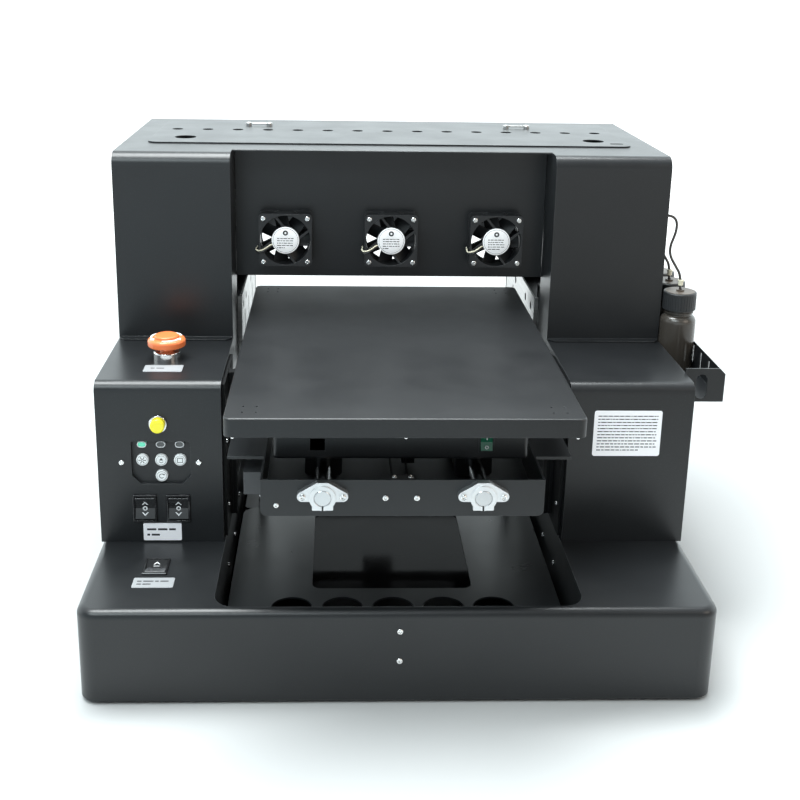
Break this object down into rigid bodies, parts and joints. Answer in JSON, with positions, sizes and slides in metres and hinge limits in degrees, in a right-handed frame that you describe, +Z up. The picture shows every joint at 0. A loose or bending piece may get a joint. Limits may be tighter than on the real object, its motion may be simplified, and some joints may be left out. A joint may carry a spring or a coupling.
{
  "type": "flatbed uv printer",
  "caption": "Desktop flatbed UV printer: box base, two towers, bridge cover with cooling fans, moving bed on a lift frame, side ink rack.",
  "frame": {"origin": "centre of the base footprint, on the plane that the rubber feet stand on, at the middle foot; the bottom plate's underside is 4 mm above it", "axes": "+X to the machine's right seen from the front, +Y from the front to the back, +Z up"},
  "size_m": [0.6525, 0.5917, 0.4897],
  "materials": {
    "black_paint": "fine powder coat",
    "bed_black": "black anodised, satin",
    "bare_steel": "brushed",
    "cast_alloy": "tumbled",
    "bright_screw": "bright",
    "shaft_steel": "ground",
    "black_plastic": "moulded",
    "gloss_black": "glossy",
    "foot_rubber": "matte",
    "belt_rubber": "matte",
    "key_grey": "satin",
    "lens": "glossy",
    "stop_red": "satin",
    "button_yellow": "satin",
    "switch_green": "glossy",
    "label_white": "satin",
    "bottle_black": "satin",
    "tube_clear": "translucent",
    "circuit_green": "satin",
    "motor_black": "satin"
  },
  "bodies": {
    "housing": {"base_electronics": "circuit_green", "base_shell": "black_paint", "bottle_caps": "black_plastic", "bottom_plate": "black_paint", "button_collars": "bright_screw", "capping_station": "black_plastic", "control_panel": "black_plastic", "cover_screws": "bright_screw", "fan_frames": "black_plastic", "fan_panel": "black_paint", "gantry_beam": "cast_alloy", "ink_bottles": "bottle_black", "ink_rack": "black_paint", "ink_tubes": "tube_clear", "inner_side_plates": "bare_steel", "label_stickers": "label_white", "left_tower_cover": "black_paint", "mains_inlet": "black_plastic", "rear_panel": "black_paint", "right_tower_cover": "black_paint", "rocker_bezels": "gloss_black", "rubber_feet": "foot_rubber", "status_lenses": "lens", "upper_cover": "black_paint", "well_floor": "black_paint", "x_belt": "belt_rubber", "x_motor": "motor_black", "z_motors": "motor_black", "z_rails": "black_paint"},
    "fan_rotor_1": {"fan_impeller_1": "black_plastic"},
    "fan_rotor_2": {"fan_impeller_2": "black_plastic"},
    "fan_rotor_3": {"fan_impeller_3": "black_plastic"},
    "stop_head": {"estop_head": "stop_red"},
    "pilot": {"pilot_button": "button_yellow"},
    "key_1": {"panel_button_1": "key_grey"},
    "key_2": {"panel_button_2": "key_grey"},
    "key_3": {"panel_button_3": "key_grey"},
    "key_4": {"panel_button_4": "key_grey"},
    "switch_left": {"rocker_left": "gloss_black"},
    "switch_right": {"rocker_right": "gloss_black"},
    "switch_deck": {"rocker_deck": "gloss_black"},
    "lid": {"service_lid": "black_paint", "lid_handles": "bare_steel"},
    "screw_left": {"lead_screw_left": "shaft_steel"},
    "screw_right": {"lead_screw_right": "shaft_steel"},
    "carriage": {"print_carriage": "black_plastic", "print_head": "bare_steel", "uv_lamp": "bed_black"},
    "x_drive": {"x_pulley": "cast_alloy"},
    "lift": {"lift_frame": "black_paint", "lift_blocks": "cast_alloy", "shaft_supports": "cast_alloy", "guide_shafts": "shaft_steel", "y_motor": "motor_black", "y_belt": "belt_rubber"},
    "y_drive": {"y_pulley": "cast_alloy"},
    "bed": {"platen": "bed_black", "suction_box": "black_paint", "shaft_bearings": "bed_black"},
    "bed_switch": {"suction_rocker": "switch_green"}
  },
  "joints": [
    {"name": "fan_spin_1", "type": "hinge", "parent": "housing", "child": "fan_rotor_1", "pos_m": [-0.12, 0.047, 0.3805], "axis": [0, 1, 0], "continuous": true},
    {"name": "fan_spin_2", "type": "hinge", "parent": "housing", "child": "fan_rotor_2", "pos_m": [0, 0.047, 0.3805], "axis": [0, 1, 0], "continuous": true},
    {"name": "fan_spin_3", "type": "hinge", "parent": "housing", "child": "fan_rotor_3", "pos_m": [0.12, 0.047, 0.3805], "axis": [0, 1, 0], "continuous": true},
    {"name": "stop_push", "type": "slide", "parent": "housing", "child": "stop_head", "axis": [0, 0, -1], "range_m": [0, 0.004], "stiffness_N_per_m": 900, "springref_m": -0.003},
    {"name": "pilot_push", "type": "slide", "parent": "housing", "child": "pilot", "axis": [0, 1, 0], "range_m": [0, 0.002], "stiffness_N_per_m": 500, "springref_m": -0.002},
    {"name": "key_push_1", "type": "slide", "parent": "housing", "child": "key_1", "axis": [0, 1, 0], "range_m": [0, 0.0012], "stiffness_N_per_m": 400, "springref_m": -0.002},
    {"name": "key_push_2", "type": "slide", "parent": "housing", "child": "key_2", "axis": [0, 1, 0], "range_m": [0, 0.0012], "stiffness_N_per_m": 400, "springref_m": -0.002},
    {"name": "key_push_3", "type": "slide", "parent": "housing", "child": "key_3", "axis": [0, 1, 0], "range_m": [0, 0.0012], "stiffness_N_per_m": 400, "springref_m": -0.002},
    {"name": "key_push_4", "type": "slide", "parent": "housing", "child": "key_4", "axis": [0, 1, 0], "range_m": [0, 0.0012], "stiffness_N_per_m": 400, "springref_m": -0.002},
    {"name": "switch_left_tilt", "type": "hinge", "parent": "housing", "child": "switch_left", "pos_m": [-0.2583, -0.1455, 0.1375], "axis": [1, 0, 0], "range_deg": [-6, 6], "stiffness_Nm_per_rad": 0.05},
    {"name": "switch_right_tilt", "type": "hinge", "parent": "housing", "child": "switch_right", "pos_m": [-0.2239, -0.1455, 0.1375], "axis": [1, 0, 0], "range_deg": [-6, 6], "stiffness_Nm_per_rad": 0.05},
    {"name": "switch_deck_tilt", "type": "hinge", "parent": "housing", "child": "switch_deck", "pos_m": [-0.2403, -0.203, 0.095], "axis": [1, 0, 0], "range_deg": [-6, 6], "stiffness_Nm_per_rad": 0.05},
    {"name": "lid_lift", "type": "slide", "parent": "housing", "child": "lid", "axis": [0, 0, 1], "range_m": [0, 0.15]},
    {"name": "carriage_slide", "type": "slide", "parent": "housing", "child": "carriage", "axis": [1, 0, 0], "range_m": [-0.39, 0]},
    {"name": "x_drive_spin", "type": "hinge", "parent": "housing", "child": "x_drive", "pos_m": [-0.275, 0.206, 0.424], "axis": [0, 1, 0], "range_deg": [-20, 3520]},
    {"name": "bed_lift", "type": "slide", "parent": "housing", "child": "lift", "axis": [0, 0, 1], "range_m": [-0.06, 0.008]},
    {"name": "screw_left_spin", "type": "hinge", "parent": "housing", "child": "screw_left", "pos_m": [-0.15, 0.06, 0.1], "axis": [0, 0, 1], "range_deg": [-5460, 780]},
    {"name": "screw_right_spin", "type": "hinge", "parent": "housing", "child": "screw_right", "pos_m": [0.15, 0.06, 0.1], "axis": [0, 0, 1], "range_deg": [-5460, 780]},
    {"name": "bed_slide", "type": "slide", "parent": "lift", "child": "bed", "axis": [0, 1, 0], "range_m": [-0.025, 0.365]},
    {"name": "y_drive_spin", "type": "hinge", "parent": "lift", "child": "y_drive", "pos_m": [0, 0.24, 0.207], "axis": [0, 0, 1], "range_deg": [-240, 3300]},
    {"name": "bed_switch_tilt", "type": "hinge", "parent": "bed", "child": "bed_switch", "pos_m": [0.081, -0.235, 0.249], "axis": [1, 0, 0], "range_deg": [0, 12]}
  ],
  "couplings": [
    {"joint": "screw_left_spin", "follows": "bed_lift", "rad_per_m": 1570.8},
    {"joint": "screw_right_spin", "follows": "bed_lift", "rad_per_m": 1570.8},
    {"joint": "x_drive_spin", "follows": "carriage_slide", "rad_per_m": -156.25},
    {"joint": "y_drive_spin", "follows": "bed_slide", "rad_per_m": 156.25}
  ]
}
